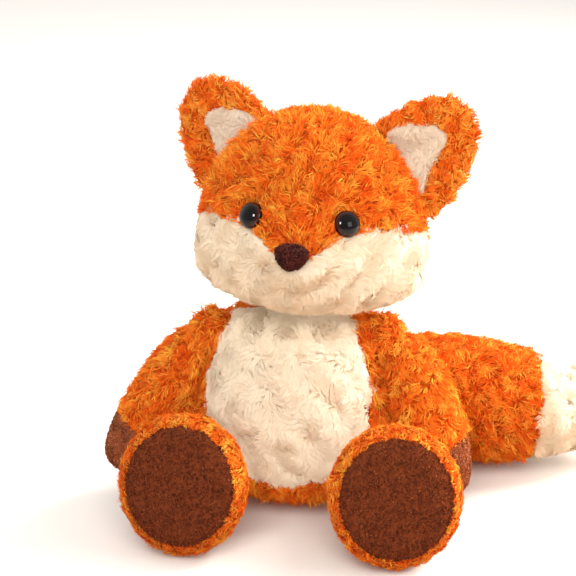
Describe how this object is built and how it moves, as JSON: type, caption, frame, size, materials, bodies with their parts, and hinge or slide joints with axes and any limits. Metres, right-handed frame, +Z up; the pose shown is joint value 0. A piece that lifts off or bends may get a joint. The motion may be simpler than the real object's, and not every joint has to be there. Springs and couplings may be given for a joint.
{
  "type": "plush fox",
  "caption": "Seated stuffed plush fox with a turning, nodding head, folding ears, lifting arms and legs and a swinging tail.",
  "frame": {"origin": "middle of the flat seat, on the surface that the fox sits on", "axes": "+Z up, -Y the way the fox faces, +X to its own left"},
  "size_m": [0.3906, 0.2558, 0.3055],
  "materials": {
    "orange_plush": "long curly pile",
    "cream_plush": "long soft pile",
    "ear_plush": "soft pile",
    "sole_velour": "short pile",
    "paw_velour": "short pile",
    "nose_velour": "short pile",
    "eye": "gloss",
    "washer": "matt",
    "stuffing": "loose fibre"
  },
  "bodies": {
    "torso": {"body_cover": "orange_plush", "belly_panel": "cream_plush", "body_stuffing": "stuffing"},
    "neck": {"neck_stuffing": "stuffing"},
    "head": {"head_cover": "orange_plush", "cheek_panel_left": "cream_plush", "cheek_panel_right": "cream_plush", "head_stuffing": "stuffing", "eye_left": "eye", "eye_right": "eye", "eye_washer_left": "washer", "eye_washer_right": "washer", "nose_cover": "nose_velour", "nose_stuffing": "stuffing"},
    "ear_left": {"ear_cover_left": "orange_plush", "ear_lining_left": "ear_plush", "ear_stuffing_left": "stuffing"},
    "arm_left": {"arm_sleeve_left": "orange_plush", "paw_left": "paw_velour", "arm_stuffing_left": "stuffing"},
    "leg_left": {"leg_cover_left": "orange_plush", "sole_left": "sole_velour", "leg_stuffing_left": "stuffing"},
    "ear_right": {"ear_cover_right": "orange_plush", "ear_lining_right": "ear_plush", "ear_stuffing_right": "stuffing"},
    "arm_right": {"arm_sleeve_right": "orange_plush", "paw_right": "paw_velour", "arm_stuffing_right": "stuffing"},
    "leg_right": {"leg_cover_right": "orange_plush", "sole_right": "sole_velour", "leg_stuffing_right": "stuffing"},
    "tail": {"tail_cover": "orange_plush", "tail_tip": "cream_plush", "tail_stuffing": "stuffing"}
  },
  "joints": [
    {"name": "head_turn", "type": "hinge", "parent": "torso", "child": "neck", "pos_m": [0.0075, 0, 0.145], "axis": [0, 0, 1], "range_deg": [-25, 25], "stiffness_Nm_per_rad": 0.2},
    {"name": "head_nod", "type": "hinge", "parent": "neck", "child": "head", "pos_m": [0.0075, 0, 0.145], "axis": [0.9968, -0.0802, 0], "range_deg": [-8, 8], "stiffness_Nm_per_rad": 0.8},
    {"name": "ear_left_fold", "type": "hinge", "parent": "head", "child": "ear_left", "pos_m": [0.06927, 0.00707, 0.22992], "axis": [0.3814, -0.0307, -0.9239], "range_deg": [-10, 10], "stiffness_Nm_per_rad": 0.06},
    {"name": "ear_right_fold", "type": "hinge", "parent": "head", "child": "ear_right", "pos_m": [-0.04629, 0.01637, 0.23397], "axis": [-0.4448, 0.0358, -0.8949], "range_deg": [-10, 10], "stiffness_Nm_per_rad": 0.06},
    {"name": "arm_left_lift", "type": "hinge", "parent": "torso", "child": "arm_left", "pos_m": [0.06232, -0.006, 0.1215], "axis": [-0.309, -0.9511, 0], "range_deg": [0, 40]},
    {"name": "arm_right_lift", "type": "hinge", "parent": "torso", "child": "arm_right", "pos_m": [-0.06232, -0.006, 0.1215], "axis": [-0.1564, 0.9877, 0], "range_deg": [0, 40]},
    {"name": "leg_left_lift", "type": "hinge", "parent": "torso", "child": "leg_left", "pos_m": [0.05, -0.0537, 0.033], "axis": [-0.9945, -0.1045, 0], "range_deg": [-25, 25], "stiffness_Nm_per_rad": 0.3},
    {"name": "leg_right_lift", "type": "hinge", "parent": "torso", "child": "leg_right", "pos_m": [-0.05, -0.0537, 0.033], "axis": [-0.9962, 0.0872, 0], "range_deg": [-25, 25], "stiffness_Nm_per_rad": 0.3},
    {"name": "tail_swing", "type": "hinge", "parent": "torso", "child": "tail", "pos_m": [0.022, 0.06976, 0.043], "axis": [0, 0, 1], "range_deg": [0, 90]}
  ]
}
